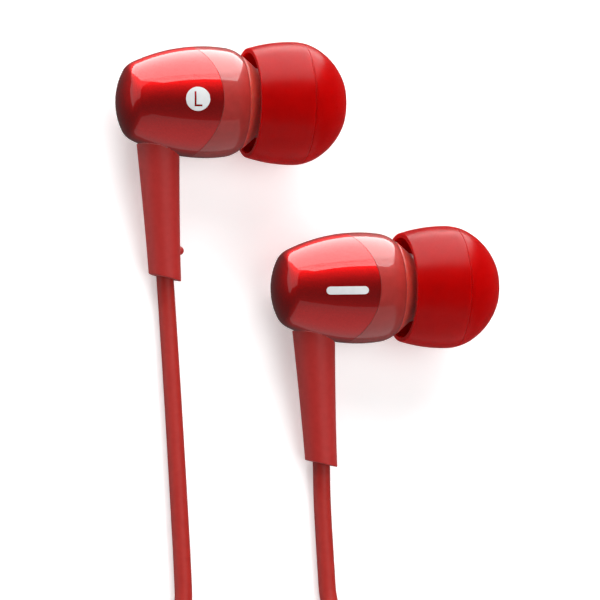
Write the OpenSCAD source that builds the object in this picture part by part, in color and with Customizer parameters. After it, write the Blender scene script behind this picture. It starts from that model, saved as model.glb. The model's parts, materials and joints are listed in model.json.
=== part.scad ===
// Wired in-ear earphones lying on a table: two earpieces, two branch cords that meet in a splitter,
// and a main cord that ends in a 3.5 mm plug. The spare cord is put away in two tied coils.
// Millimetres. +Z is up and the table is Z = 0. The origin is under the middle of the two earpieces.

/* [Earpiece barrel] */
// Largest diameter of the barrel
barrel_d = 11.3; // [11.2:0.1:11.5]
// Diameter of the crease where the rear cap meets the barrel
crease_d = 7.4; // [7.2:0.1:7.6]
// Height of the domed rear cap
cap_h = 1.1; // [0.9:0.05:1.2]
// From the crease to the widest point of the barrel
belly_x = 8.0; // [7.9:0.05:8.1]
// From the crease to the front ring's front face
ring_front = 11.5; // [11.4:0.05:11.6]
// From the crease to the ring's seam at the sides of the barrel
seam_side_x = 8.5; // [8.4:0.05:8.6]
// Radius of the curve that the seam follows
seam_r = 8.2; // [8:0.1:8.6]

/* [Ear tip] */
// Largest diameter of the ear tip
tip_d = 12.54; // [12.4:0.02:12.6]
// From the crease to the ear tip's rear rim
tip_rear = 12.45; // [12.4:0.05:12.6]
// From the crease to the widest point of the ear tip
tip_belly_x = 17.2; // [17.1:0.05:17.3]
// From the widest point of the ear tip to its front end
tip_nose = 5.6; // [5.5:0.05:5.7]
// Thickness of the ear tip's skirt
skirt_wall = 0.5; // [0.4:0.05:0.6]

/* [Stem] */
// Diameter of the strain relief where it would meet the barrel's axis
stem_top_d = 4.66; // [4.6:0.02:4.7]
// Diameter of the strain relief at its lower end
stem_end_d = 3.22; // [3.1:0.02:3.3]
// From the barrel's axis to the middle of the slanted lower end
stem_len = 17.75; // [17.25:0.25:18]
// Slant of the lower end, in degrees
stem_slant = 16.5; // [14:0.5:18]
// Forward lean of the stem, in degrees
stem_lean = 2.75; // [2:0.25:4]
// Diameter of the nub on the left strain relief
nub_d = 0.9; // [0.7:0.1:1.1]

/* [Driver] */
// Diameter of the driver's frame
driver_d = 8.4; // [8.2:0.1:8.5]
// Diameter of the voice coil, outside
coil_d = 4.1; // [4.05:0.05:4.15]

/* [Cords] */
// Diameter of the two branch cords
cord_d = 1.75; // [1.7:0.05:1.8]
// Diameter of the main cord
main_d = 2.2; // [2.1:0.05:2.25]
// Diameter of the plug's contacts
plug_d = 3.5; // [3.5]
// Diameter of the plug's grip
grip_d = 5.8; // [5.4:0.1:5.8]

/* [Hidden] */
SIDES = ["left", "right"];
EAR_PARTS = [
    "rear_shell", "front_ring", "nozzle", "nozzle_mesh", "ear_tip", "channel_mark", "badge",
    "strain_relief", "cord_crimp", "cord_end", "lead_wires", "terminal_board", "damper",
    "driver_frame", "driver_yoke", "driver_magnet", "driver_plate", "voice_coil", "diaphragm",
    "surround"
];
CORD_PARTS = [
    "left_cord", "right_cord", "left_coil", "right_coil", "branch_tie", "cord_slider",
    "splitter_body", "splitter_core", "main_cord", "main_coil", "main_tie",
    "plug_relief", "plug_grip", "plug_sleeve", "plug_ring", "plug_tip", "plug_insulators"
];

$fn = 64;
lathe_fn = 96;
far = 30;                      // longer than anything it cuts
gap = 0.05;                    // clearance between parts that slide together

candy_red = [0.72, 0.03, 0.05];
frosted_red = [0.85, 0.35, 0.33];
tip_red = [0.82, 0.01, 0.02];
matte_red = [0.60, 0.09, 0.08];
light_grey = [0.85, 0.86, 0.87];
steel = [0.70, 0.71, 0.73];
brass_gold = [0.85, 0.68, 0.35];
copper = [0.75, 0.42, 0.22];
dark_grey = [0.16, 0.16, 0.17];

// Barrel outline
belly_r = barrel_d / 2;
crease_r = crease_d / 2;
rise = belly_r - crease_r;
rear_arc_r = (belly_x * belly_x + rise * rise) / (2 * rise);
cap_r = (crease_r * crease_r + cap_h * cap_h) / (2 * cap_h);
front_arc_r = 14;
front_arc_end = 10;
shoulder_r = 3;
front_angle = asin((front_arc_end - belly_x) / front_arc_r);
shoulder_c = [
    belly_r - front_arc_r + (front_arc_r - shoulder_r) * cos(front_angle),
    belly_x + (front_arc_r - shoulder_r) * sin(front_angle)
];

// Inside the barrel
cavity_rear = 0.7;
cavity_rear_r = 3.6;
cavity_step = 4.6;
cavity_r = 4.75;
ring_bore_r = 4.3;
spigot_rear = 5.6;
spigot_front = 8.5;

// Nozzle
nozzle_rear = 9.6;
shoulder_rear_r = 4.78;
shoulder_front = 13.2;
lip_r = 3.5;
lip_front = 13.5;
tube_r = 2.0;
barb_r = 2.3;
tube_front = 17.9;
mesh_seat = 17.6;
mesh_seat_r = 1.75;
sound_r = 1.4;

// Ear tip
tip_r = tip_d / 2;
skirt_arc_r = 16;
corner_r = 4.7;
corner_c = [tip_r - corner_r, tip_belly_x];
nose_r = (corner_c[0] * corner_c[0] + tip_nose * tip_nose - corner_r * corner_r)
    / (2 * (tip_nose - corner_r));
nose_x = tip_belly_x + tip_nose - nose_r;
tip_front = tip_belly_x + tip_nose;
nose_start = nose_x + nose_r * (tip_belly_x - nose_x) / (nose_r - corner_r);
tip_bore_r = barb_r + gap;
core_r = 2.95;
core_rear = 13.9;
hollow_front = 18.4;

// Stem
stem_x = 2.92;
stem_top_r = stem_top_d / 2;
stem_end_r = stem_end_d / 2;
stem_start = 2.5;
stem_stop = stem_len + stem_end_r;
neck_r = 1.5;
flange_r = 1.95;
flange_top = 2.6;
flange_h = 0.35;
cable_bore_r = 1.0;
nub_at = 15.1;
nub_sunk = 0.04;
relief_gap = 0.06;             // hairline between the barrel and the relief
crimp_top = 1.3;
crimp_h = flange_top - crimp_top;
lead_l = 0.5;                  // of the cord's end above the crimp
cord_end_at = 14.9;            // the visible cord starts here, inside the stem

// Marks let into the barrel's sides
mark_at = [5.87, -0.05];
mark_r = 1.2;
badge_at = [5.1, -0.25];
badge_l = 4.2;
badge_w = 0.8;
mark_depth = 0.25;
mark_proud = 0.02;
letter_w = 0.19;               // of a stroke
letter_h = 1.5;
letter_l = 0.78;
letter_left = -0.36;
bowl_r = 0.42;
stencil_bridge = 0.12;

// Driver, from its yoke to its diaphragm
driver_r = driver_d / 2;
frame_rear = 7.6;
frame_wall = 0.3;
yoke_rear = 6.2;
yoke_front = 8.2;
yoke_r = 2.6;
yoke_inner_r = 2.2;
yoke_floor = 0.4;
magnet_r = 1.6;
plate_rear = 7.6;
plate_r = 1.65;
coil_r = coil_d / 2;
coil_wall = 0.22;
coil_rear = 7.5;
film_x = 9.0;
film = 0.06;
dome_h = 0.5;
dome_r = 1.85;
surround_in = 2.3;
surround_out = 3.9;

// How each earpiece lies on the table: on its tip, its belly and the end of its stem
lift = tip_belly_x - belly_x;
arc_offset = (skirt_arc_r - tip_r) - (rear_arc_r - belly_r);
pitch = asin((skirt_arc_r - rear_arc_r) / norm([lift, arc_offset])) - atan2(arc_offset, lift);
axis_z = rear_arc_r - (rear_arc_r - belly_r) * cos(pitch) - belly_x * sin(pitch);
roll = 12.45;
LEFT_AT = [-18.4, 15.4];
RIGHT_AT = [-3.14, -3.78];
YAW = 0.2;

// Coils. The turns are one cord apart, and the tie's band runs under them.
tie_t = 0.3;
tie_w = 3;
BRANCH_AT = [-6.5, -52.5];
branch_mean_r = 8.75;
branch_turns = 3;              // in each of two layers, for each branch
MAIN_AT = [7.5, -111.5];
main_mean_r = 11;
main_turns = 2.75;             // in each of four layers
branch_band = (branch_turns + 1) * cord_d;
main_band = (main_turns + 1) * main_d;
branch_stack = 2 * cord_d;
main_stack = 4 * main_d;

// Slider and splitter on the line that the two branches come together on
lane_x = -6.5;
lane_z = 1.9;
bore_dx = 1.3;
slider_y = -89.5;
slider_l = 6;
slider_w = 6.2;
slider_h = 3.6;
slider_bore_r = 1.05;
splitter_y = -90;
splitter_l = 11;
splitter_w = 5.8;
splitter_end_w = 4.0;
splitter_h = 3.8;
socket_depth = 2.5;
core_l = 5;

// Plug
plug_x = -17.5;
plug_z = 2.9;
relief_y = -119.7;
relief_l = 8.5;
relief_ribs = 4;
grip_l = 13.5;
contact_l = 14;
plug_r = plug_d / 2;

// Routes of the cords, with every point on the cord's centreline. A branch comes straight out of its
// stem first: see branch_route().
LEFT_IN = [
    [-14.23, -4.7, 0.98], [-14.19, -7, 0.88],
    [-14.18, -12, 0.88], [-14.19, -17, 0.88], [-14.21, -22, 0.88], [-14.24, -27, 0.88],
    [-14.28, -31, 0.88], [-14.4, -34.5, 0.88], [-14.95, -38, 0.95], [-15.95, -41.5, 1.05],
    [-17.1, -45, 1.15], [-17.75, -48, 1.18], [-17.88, -50, 1.18]
];
LEFT_OUT = [
    [-17.88, -55, 2.9], [-17.7, -58, 2.9], [-17, -61, 2.85], [-15.4, -64.5, 2.7],
    [-13, -68, 2.4], [-10.6, -71, 2.1], [-8.8, -73.7, 1.95], [-7.95, -76, 1.9],
    [-7.8, -78, 1.9], [-7.8, -82, 1.9], [-7.8, -86, 1.9], [-7.8, -91.5, 1.9]
];
RIGHT_IN = [
    [1.02, -23.8, 0.98], [0.98, -26, 0.88],
    [0.93, -29, 0.88], [0.9, -32, 0.88], [0.92, -34.5, 0.9], [1.3, -37.5, 1.5],
    [2.3, -40.5, 2.7], [3.55, -43.5, 3.9], [4.45, -46, 4.5], [4.85, -48.5, 4.68],
    [4.88, -50, 4.68]
];
RIGHT_OUT = [
    [4.88, -55, 6.43], [4.7, -58, 6.43], [4, -61, 6.2], [2.4, -64.5, 5.1],
    [0, -68, 3.6], [-2.4, -71, 2.5], [-4.2, -73.7, 2], [-5.05, -76, 1.9],
    [-5.2, -78, 1.9], [-5.2, -82, 1.9], [-5.2, -86, 1.9], [-5.2, -91.5, 1.9]
];
MAIN_IN = [
    [-6.5, -99, 1.9], [-6.5, -101.5, 1.85], [-6.5, -104.5, 1.6], [-6.5, -107, 1.42],
    [-6.5, -109, 1.4]
];
MAIN_OUT = [
    [-6.5, -114, 8], [-6.5, -117, 8], [-6.55, -119.7, 7.7], [-7.3, -122.4, 6.8],
    [-9.3, -124.4, 5.6], [-12, -125.2, 4.5], [-14.7, -124.4, 3.6], [-16.8, -122.4, 3],
    [-17.5, -119.7, 2.9], [-17.5, -118, 2.9]
];

// --- Shared shapes ---

// A body turned about the barrel's axis, drawn as [radius, distance from the crease]
module lathe() rotate([0, 90, 0]) rotate_extrude($fn = lathe_fn) children();

// A rectangle of a lathe drawing, from x0 to x1 along the axis
module band(x0, x1, r1, r0 = 0) translate([r0, x0]) square([r1 - r0, x1 - x0]);

// Turns Z to run down the stem from the barrel's axis
module along_stem() translate([stem_x, 0, 0]) rotate([0, 0, stem_lean]) rotate([90, 0, 0]) children();

// Puts an earpiece on the table
module place(side) {
    left = side == "left";
    translate(concat(left ? LEFT_AT : RIGHT_AT, [axis_z]))
        rotate([0, 0, left ? -YAW : YAW])
            rotate([0, -pitch, 0])
                rotate([roll, 0, 0])
                    children();
}

// Turns Z to run along +Y from the point given
module along_y(at) translate(at) rotate([-90, 0, 0]) children();

function unit(v) = v / norm(v);

// Where a place on the stem's axis comes to lie on the table: rolled, pitched, turned and moved
function stem_on_table(side, t) =
    let (
        x = stem_x + t * sin(stem_lean), y = -t * cos(stem_lean) * cos(roll),
        z = -t * cos(stem_lean) * sin(roll), a = side == "left" ? -YAW : YAW,
        fwd = x * cos(pitch) - z * sin(pitch), up = x * sin(pitch) + z * cos(pitch)
    )
    concat(side == "left" ? LEFT_AT : RIGHT_AT, [axis_z])
        + [fwd * cos(a) - y * sin(a), fwd * sin(a) + y * cos(a), up];

function branch_route(side) = concat(
    [for (t = [cord_end_at, stem_len]) stem_on_table(side, t)],
    side == "left" ? LEFT_IN : RIGHT_IN
);

function heading(p, i) = unit(p[min(i + 1, len(p) - 1)] - p[max(i - 1, 0)]);

// The points of one ring of a tube: its first point is at the side, level with the centreline
function tube_ring(p, i, r, n) =
    let (ahead = heading(p, i), side = unit(cross(ahead, [0, 0, 1])), up = cross(side, ahead))
    [for (k = [0:n - 1]) p[i] + r * (cos(360 * k / n) * side + sin(360 * k / n) * up)];

// A closed round tube along a list of points
module tube(p, r, n = 8) {
    last = len(p) - 1;
    points = [for (i = [0:last]) each tube_ring(p, i, r, n)];
    walls = [
        for (i = [0:last - 1], k = [0:n - 1])
            let (a = i * n + k, b = i * n + (k + 1) % n)
            each [[a, b, b + n], [a, b + n, a + n]]
    ];
    ends = [[for (k = [n - 1:-1:0]) k], [for (k = [0:n - 1]) last * n + k]];
    polyhedron(points, concat(walls, ends));
}

// The barrel and its rear cap, grown by the amount given
module barrel_outline(grow = 0) {
    intersection() {
        translate([belly_r - rear_arc_r, belly_x]) circle(rear_arc_r + grow);
        band(0, belly_x, belly_r + grow);
    }
    intersection() {
        translate([belly_r - front_arc_r, belly_x]) circle(front_arc_r + grow);
        band(belly_x, front_arc_end, belly_r + grow);
    }
    band(front_arc_end, ring_front, shoulder_c[0]);
    intersection() {
        translate(shoulder_c) circle(shoulder_r + grow);
        band(front_arc_end, ring_front, belly_r + grow);
    }
    intersection() {
        translate([0, cap_r - cap_h]) circle(cap_r + grow);
        band(-cap_h - grow, 0, crease_r + grow);
    }
}

// Everything behind the curved seam between the shell and the front ring
module behind_seam(grow = 0)
    translate([seam_side_x - seam_r, 0, 0]) cylinder(h = far, r = seam_r + grow, center = true);

// The thin skin of the barrel that a mark on one side of it lies in
module mark_skin(z_side, depth)
    intersection() {
        difference() {
            lathe() barrel_outline(mark_proud);
            lathe() barrel_outline(-depth);
        }
        mirror([0, 0, z_side < 0 ? 1 : 0]) linear_extrude(far) children();
    }

// The strain relief's radius at a distance down the stem
function stem_r(t) = stem_top_r + (stem_end_r - stem_top_r) * t / stem_len;

module letter_l() {
    translate([letter_left, -letter_h / 2]) square([letter_w, letter_h]);
    translate([letter_left, -letter_h / 2]) square([letter_l, letter_w]);
}

// A stencil R: the bridge beside the stem holds the middle of its bowl
module letter_r() {
    bowl_y = letter_h / 2 - bowl_r;
    hole_r = bowl_r - letter_w;
    translate([letter_left, -letter_h / 2]) square([letter_w, letter_h]);
    difference() {
        union() {
            translate([0, bowl_y]) circle(bowl_r);
            translate([letter_left, bowl_y - bowl_r]) square([-letter_left, 2 * bowl_r]);
        }
        translate([0, bowl_y]) circle(hole_r);
        translate([letter_left, bowl_y - hole_r]) square([-letter_left, 2 * hole_r]);
        translate([letter_left + letter_w, bowl_y - bowl_r]) square([stencil_bridge, bowl_r]);
    }
    polygon([
        [0, bowl_y - bowl_r], [1.2 * letter_w, bowl_y - bowl_r],
        [letter_left + letter_l, -letter_h / 2], [letter_left + letter_l - 1.2 * letter_w, -letter_h / 2]
    ]);
}

module badge_outline() {
    half = badge_l / 2 - badge_w / 2;
    translate(badge_at) square([2 * half, badge_w], center = true);
    for (dx = [-half, half]) translate(badge_at + [dx, 0]) circle(badge_w / 2);
}

// The left earpiece shows its letter and the right one its badge on the upper side
function mark_up(side) = side == "left" ? 1 : -1;

// --- Earpiece ---

module rear_shell(side) color(candy_red) difference() {
    intersection() {
        lathe() barrel_outline();
        behind_seam();
    }
    lathe() {
        band(cavity_rear, cavity_step, cavity_rear_r);
        band(cavity_step, ring_front, cavity_r);
    }
    along_stem() cylinder(h = 2 * belly_r, r = neck_r);
    mark_skin(mark_up(side), mark_depth) translate(mark_at) circle(mark_r);
    mark_skin(-mark_up(side), mark_depth) badge_outline();
}

module front_ring() color(frosted_red) difference() {
    union() {
        difference() {
            lathe() barrel_outline();
            behind_seam(gap);
        }
        lathe() band(spigot_rear, spigot_front, cavity_r - gap);
    }
    lathe() band(spigot_rear - 1, ring_front + 1, ring_bore_r);
}

module nozzle() color(frosted_red) lathe() polygon([
    [ring_bore_r - gap, nozzle_rear], [ring_bore_r - gap, ring_front],
    [shoulder_rear_r, ring_front], [lip_r, shoulder_front], [lip_r, lip_front],
    [tube_r, lip_front], [tube_r, 16.8], [barb_r, 17], [barb_r, 17.3], [tube_r, tube_front],
    [mesh_seat_r, tube_front], [mesh_seat_r, mesh_seat], [sound_r, mesh_seat],
    [sound_r, shoulder_front], [3.3, ring_front], [3.3, nozzle_rear]
]);

module nozzle_mesh() color(steel) translate([mesh_seat, 0, 0]) rotate([0, 90, 0]) linear_extrude(0.12)
    difference() {
        circle(mesh_seat_r - gap);
        for (ring = [0:3], k = [0:max(1, 6 * ring) - 1])
            rotate(k * 360 / max(1, 6 * ring)) translate([0.42 * ring, 0]) circle(0.13, $fn = 24);
    }

module tip_outline(inset = 0) {
    intersection() {
        translate([0, nose_x]) circle(nose_r - inset);
        band(nose_start, tip_front, tip_r);
    }
    band(tip_belly_x, nose_start, corner_c[0]);
    intersection() {
        translate(corner_c) circle(corner_r - inset);
        band(tip_belly_x, nose_start, tip_r, corner_c[0]);
    }
    intersection() {
        translate([tip_r - skirt_arc_r, tip_belly_x]) circle(skirt_arc_r - inset);
        band(tip_rear, tip_belly_x, tip_r);
    }
}

module ear_tip() color(tip_red) lathe() difference() {
    tip_outline();
    difference() {
        tip_outline(skirt_wall);
        band(core_rear, far, core_r);
        band(hollow_front, far, tip_r);
    }
    band(tip_rear - 1, tip_front + 1, tip_bore_r);
}

module channel_mark(side) color(light_grey)
    mark_skin(mark_up(side), mark_depth) translate(mark_at) difference() {
        circle(mark_r);
        if (side == "left") letter_l();
        if (side == "right") mirror([1, 0]) letter_r();
    }

module badge(side) color(light_grey) mark_skin(-mark_up(side), mark_depth) badge_outline();

module strain_relief(side) color(matte_red) difference() {
    union() {
        difference() {
            along_stem() {
                translate([0, 0, stem_start])
                    cylinder(h = stem_stop - stem_start, r1 = stem_r(stem_start), r2 = stem_r(stem_stop));
                if (side == "left")
                    translate([stem_r(nub_at) - nub_sunk, 0, nub_at]) sphere(nub_d / 2);
            }
            lathe() barrel_outline(relief_gap);
        }
        along_stem() translate([0, 0, flange_top]) cylinder(h = stem_len / 2, r = neck_r);
        along_stem() translate([0, 0, flange_top]) cylinder(h = flange_h, r = flange_r);
    }
    along_stem() cylinder(h = far, r = cable_bore_r);
    along_stem() translate([0, 0, stem_len]) rotate([0, -stem_slant, 0])
        translate([-far / 2, -far / 2, 0]) cube(far);
}

module cord_crimp() color(brass_gold) along_stem() translate([0, 0, crimp_top]) difference() {
    cylinder(h = crimp_h, r = neck_r);
    translate([0, 0, -1]) cylinder(h = crimp_h + 2, r = cord_d / 2 + 0.02);
}

module cord_end() color(matte_red) along_stem() translate([0, 0, crimp_top - lead_l])
    cylinder(h = cord_end_at - crimp_top + lead_l, r = cord_d / 2);

module lead_wires() color(copper) for (s = [-1, 1])
    tube([
        [2.75, -0.66, 0.25 * s], [2.85, 0, 0.4 * s], [3.3, 0.6, 0.55 * s],
        [4.1, 0.9, 0.6 * s], [5, 0.9, 0.6 * s], [5.85, 0.8, 0.6 * s]
    ], 0.14, 6);

module terminal_board() color([0.10, 0.35, 0.18]) translate([5.87, -1.4, -1.1]) cube([0.33, 2.8, 2.2]);

module damper() color(light_grey) lathe() band(7.3, frame_rear, driver_r - 0.1, yoke_r + gap);

module driver_frame() color(dark_grey) lathe() difference() {
    band(frame_rear, nozzle_rear, driver_r);
    band(frame_rear - 1, nozzle_rear + 1, yoke_r);
    band(frame_rear + frame_wall, nozzle_rear + 1, driver_r - 0.9);
    band(film_x, nozzle_rear + 1, surround_out + gap);
}

module driver_yoke() color(steel) lathe() difference() {
    band(yoke_rear, yoke_front, yoke_r);
    band(yoke_rear + yoke_floor, yoke_front + 1, yoke_inner_r);
}

module driver_magnet() color(dark_grey) lathe() band(yoke_rear + yoke_floor, plate_rear, magnet_r);

module driver_plate() color(steel) lathe() band(plate_rear, plate_rear + 0.5, plate_r);

module voice_coil() color(copper) lathe() band(coil_rear, film_x, coil_r, coil_r - coil_wall);

// A flat rim glued to the voice coil, and a dome over the magnet
module diaphragm() color([0.75, 0.72, 0.62]) lathe() {
    cap = (dome_r * dome_r + dome_h * dome_h) / (2 * dome_h);
    intersection() {
        difference() {
            translate([0, film_x + dome_h - cap]) circle(cap);
            translate([0, film_x + dome_h - cap]) circle(cap - film);
        }
        band(film_x, film_x + dome_h, dome_r);
    }
    band(film_x, film_x + film, surround_in - gap, dome_r - 0.15);
}

// A half-round roll between the diaphragm's rim and the frame
module surround() color([0.55, 0.50, 0.42]) lathe() {
    mid = (surround_in + 3.2) / 2;
    roll_r = (3.2 - surround_in) / 2;
    intersection() {
        difference() {
            translate([mid, film_x]) circle(roll_r);
            translate([mid, film_x]) circle(roll_r - film);
        }
        band(film_x, film_x + 1, surround_out);
    }
    band(film_x, film_x + film, surround_out, 3.2 - film);
}

// --- Cords ---

module left_cord() color(matte_red) {
    tube(branch_route("left"), cord_d / 2);
    tube(LEFT_OUT, cord_d / 2);
}

module right_cord() color(matte_red) {
    tube(branch_route("right"), cord_d / 2);
    tube(RIGHT_OUT, cord_d / 2);
}

module main_cord() color(matte_red) {
    tube(MAIN_IN, main_d / 2);
    tube(MAIN_OUT, main_d / 2);
}

// The outer shape of a coil of cord: a ring of turns with rounded edges
module coil_solid(at, z0, mean_r, width, height, d)
    translate([at[0], at[1], z0]) rotate_extrude($fn = lathe_fn) {
        translate([mean_r - width / 2, d / 2]) square([width, height - d]);
        translate([mean_r - width / 2 + d / 2, 0]) square([width - d, height]);
        for (x = [-1, 1], z = [d / 2, height - d / 2])
            translate([mean_r + x * (width - d) / 2, z]) circle(d / 2);
    }

module left_coil() color(matte_red)
    coil_solid(BRANCH_AT, tie_t, branch_mean_r, branch_band, branch_stack, cord_d);

module right_coil() color(matte_red)
    coil_solid(BRANCH_AT, tie_t + branch_stack, branch_mean_r, branch_band, branch_stack, cord_d);

module main_coil() color(matte_red)
    coil_solid(MAIN_AT, tie_t, main_mean_r, main_band, main_stack, main_d);

// A flat band round one place of a coil, across the Y direction
module tie(at, y_side, mean_r, width, height) color(dark_grey)
    translate([at[0] - tie_w / 2, at[1], 0]) mirror([0, y_side < 0 ? 1 : 0, 0])
        difference() {
            inner = mean_r - width / 2 - 0.25;
            outer = mean_r + width / 2;
            translate([0, inner - tie_t, 0]) cube([tie_w, outer - inner + 2 * tie_t, height + 2 * tie_t]);
            translate([-1, inner, tie_t]) cube([tie_w + 2, outer - inner, height]);
        }

module branch_tie() tie(BRANCH_AT, -1, branch_mean_r, branch_band, 2 * branch_stack);

module main_tie() tie(MAIN_AT, 1, main_mean_r, main_band, main_stack);

// --- Slider and splitter ---

// A slab with round ends across X, as thick as it is round
module round_slab(w, h, l) {
    cube([w - h, h, l], center = true);
    for (s = [-1, 1]) translate([s * (w - h) / 2, 0, 0]) cylinder(h = l, r = h / 2, center = true);
}

module cord_slider() color(matte_red) along_y([lane_x, slider_y + slider_l / 2, lane_z]) difference() {
    round_slab(slider_w, slider_h, slider_l);
    for (s = [-1, 1]) translate([s * bore_dx, 0, 0])
        cylinder(h = slider_l + 2, r = slider_bore_r, center = true);
}

module splitter_body() color(matte_red) difference() {
    intersection() {
        along_y([lane_x, splitter_y - splitter_l / 2, lane_z])
            round_slab(splitter_w, splitter_h, splitter_l);
        translate([lane_x, splitter_y, 0]) linear_extrude(far) polygon([
            [-splitter_w / 2, 0], [splitter_w / 2, 0], [splitter_w / 2, -splitter_l / 2],
            [splitter_end_w / 2, -splitter_l], [-splitter_end_w / 2, -splitter_l],
            [-splitter_w / 2, -splitter_l / 2]
        ]);
    }
    for (s = [-1, 1]) along_y([lane_x + s * bore_dx, splitter_y - socket_depth, lane_z])
        cylinder(h = far, r = cord_d / 2 + 0.02);
    along_y([lane_x, splitter_y - splitter_l - 1, lane_z])
        cylinder(h = socket_depth + 1, r = main_d / 2 + 0.02);
    translate([lane_x, splitter_y - splitter_l / 2, lane_z]) cube([4, core_l, 2.2], center = true);
}

module splitter_core() color(light_grey) translate([lane_x, splitter_y - splitter_l / 2, lane_z])
    cube([4 - gap, core_l - gap, 2.2 - gap], center = true);

// --- Plug ---

// Turns Z to run along the plug, from the far end of its relief towards its tip
module along_plug(dy) along_y([plug_x, relief_y + dy, plug_z]) children();

module plug_relief() color(matte_red) along_plug(0) difference() {
    union() {
        cylinder(h = relief_l, r1 = 1.7, r2 = 2.1);
        for (k = [1:relief_ribs]) translate([0, 0, k * relief_l / (relief_ribs + 1) - 0.4])
            cylinder(h = 0.8, r = 2.3);
    }
    translate([0, 0, -1]) cylinder(h = 3, r = main_d / 2 + 0.03);
}

module plug_grip() color(matte_red) along_plug(relief_l) {
    cylinder(h = 1, r1 = grip_d / 2 - 0.5, r2 = grip_d / 2);
    translate([0, 0, 1]) cylinder(h = grip_l - 1.5, r = grip_d / 2);
    translate([0, 0, grip_l - 0.5]) cylinder(h = 0.5, r1 = grip_d / 2, r2 = grip_d / 2 - 0.5);
}

// Distances from the grip's face: flange, sleeve, ring, tip
module along_contact() along_plug(relief_l + grip_l) children();

module plug_sleeve() color(brass_gold) along_contact() {
    cylinder(h = 0.6, r = 2.4);
    translate([0, 0, 0.6]) cylinder(h = 5.8, r = plug_r);
}

module plug_insulators() color(dark_grey) along_contact()
    for (z = [6.4, 9]) translate([0, 0, z]) cylinder(h = 0.6, r = plug_r);

module plug_ring() color(brass_gold) along_contact() translate([0, 0, 7]) cylinder(h = 2, r = plug_r);

module plug_tip() color(brass_gold) along_contact() translate([0, 0, 9.6]) rotate_extrude() polygon([
    [0, 0], [plug_r, 0], [plug_r, 0.4], [1.15, 1.5], [plug_r - 0.15, 2.7], [plug_r - 0.15, 3.1],
    [0.7, contact_l - 9.6], [0, contact_l - 9.6]
]);

// --- Assembly ---

for (side = SIDES) {
    prefix = str(side, "_");
    place(side) rear_shell(side);
    place(side) front_ring();
    place(side) nozzle();
    place(side) nozzle_mesh();
    place(side) ear_tip();
    place(side) channel_mark(side);
    place(side) badge(side);
    place(side) strain_relief(side);
    place(side) cord_crimp();
    place(side) cord_end();
    place(side) lead_wires();
    place(side) terminal_board();
    place(side) damper();
    place(side) driver_frame();
    place(side) driver_yoke();
    place(side) driver_magnet();
    place(side) driver_plate();
    place(side) voice_coil();
    place(side) diaphragm();
    place(side) surround();
}
left_cord();
right_cord();
left_coil();
right_coil();
branch_tie();
cord_slider();
splitter_body();
splitter_core();
main_cord();
main_coil();
main_tie();
plug_relief();
plug_grip();
plug_sleeve();
plug_ring();
plug_tip();
plug_insulators();
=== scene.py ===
import json
from math import asin, cos, hypot, pi, radians, sin, sqrt, tan

import bmesh
import bpy
from mathutils import Matrix, Vector

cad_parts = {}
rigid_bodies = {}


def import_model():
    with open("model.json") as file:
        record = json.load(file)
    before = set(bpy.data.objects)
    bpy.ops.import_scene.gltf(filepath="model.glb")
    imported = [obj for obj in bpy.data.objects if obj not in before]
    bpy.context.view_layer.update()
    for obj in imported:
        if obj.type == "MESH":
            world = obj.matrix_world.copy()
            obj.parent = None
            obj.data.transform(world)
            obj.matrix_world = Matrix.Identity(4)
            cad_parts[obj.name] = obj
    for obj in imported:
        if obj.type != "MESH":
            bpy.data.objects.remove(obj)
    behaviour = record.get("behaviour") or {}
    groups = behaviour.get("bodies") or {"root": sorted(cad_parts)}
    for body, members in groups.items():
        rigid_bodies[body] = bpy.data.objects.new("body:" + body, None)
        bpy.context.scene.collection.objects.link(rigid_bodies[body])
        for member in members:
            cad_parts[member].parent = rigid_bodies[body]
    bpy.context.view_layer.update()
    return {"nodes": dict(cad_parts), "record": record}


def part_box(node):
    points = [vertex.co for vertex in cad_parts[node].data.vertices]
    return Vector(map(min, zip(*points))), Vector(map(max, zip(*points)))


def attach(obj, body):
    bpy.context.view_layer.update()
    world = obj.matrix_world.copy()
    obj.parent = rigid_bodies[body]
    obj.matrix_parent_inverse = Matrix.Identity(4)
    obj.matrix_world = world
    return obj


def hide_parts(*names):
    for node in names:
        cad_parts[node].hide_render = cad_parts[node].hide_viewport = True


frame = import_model()

MM = 0.001
SIDES = ("left", "right")
ROOT = "earphones"
nodes = frame["nodes"]
record = frame["record"]


# --- Where the earpieces lie ---
# Sizes are in millimetres. X is how far ahead of the barrel's crease a place is, and T how far
# down the stem.

MAGNET_X = 7.1  # the driver magnet's middle, on the barrel's axis
STEM_X = 2.92
STEM_LEN = 17.75
STEM_LEAN = radians(2.75)
STEM_SLANT = tan(radians(16.5))
CORD_START_T = 14.9  # where the visible cord begins, inside the stem

AXIS = Matrix.Rotation(pi / 2, 4, "Y")  # turns a lathe's Z to the barrel's axis
STEM = (
    Matrix.Translation((STEM_X * MM, 0, 0))
    @ Matrix.Rotation(STEM_LEAN, 4, "Z")
    @ Matrix.Rotation(pi / 2, 4, "X")
)


def middle(node):
    low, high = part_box(node)
    return (Vector(low) + Vector(high)) / 2


def earpiece(side):
    """The earpiece's own frame: X is the way the tip points, and the stem runs along -Y."""
    joint = next(j for j in record["behaviour"]["joints"] if j["name"] == f"{side}_tip_pull")
    ahead = Vector(joint["axis"]).normalized()
    origin = middle(f"{side}_driver_magnet") - ahead * MAGNET_X * MM
    below = middle(f"{side}_cord_end") - origin
    back = -(below - ahead * below.dot(ahead)).normalized()
    up = ahead.cross(back)
    rotation = Matrix((ahead, back, up)).transposed().to_4x4()
    return Matrix.Translation(origin) @ rotation


PLACE = {side: earpiece(side) for side in SIDES}


def placed(name, data):
    """A new object, put in the scene."""
    obj = bpy.data.objects.new(name, data)
    bpy.context.scene.collection.objects.link(obj)
    return obj


# --- Camera ---

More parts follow.
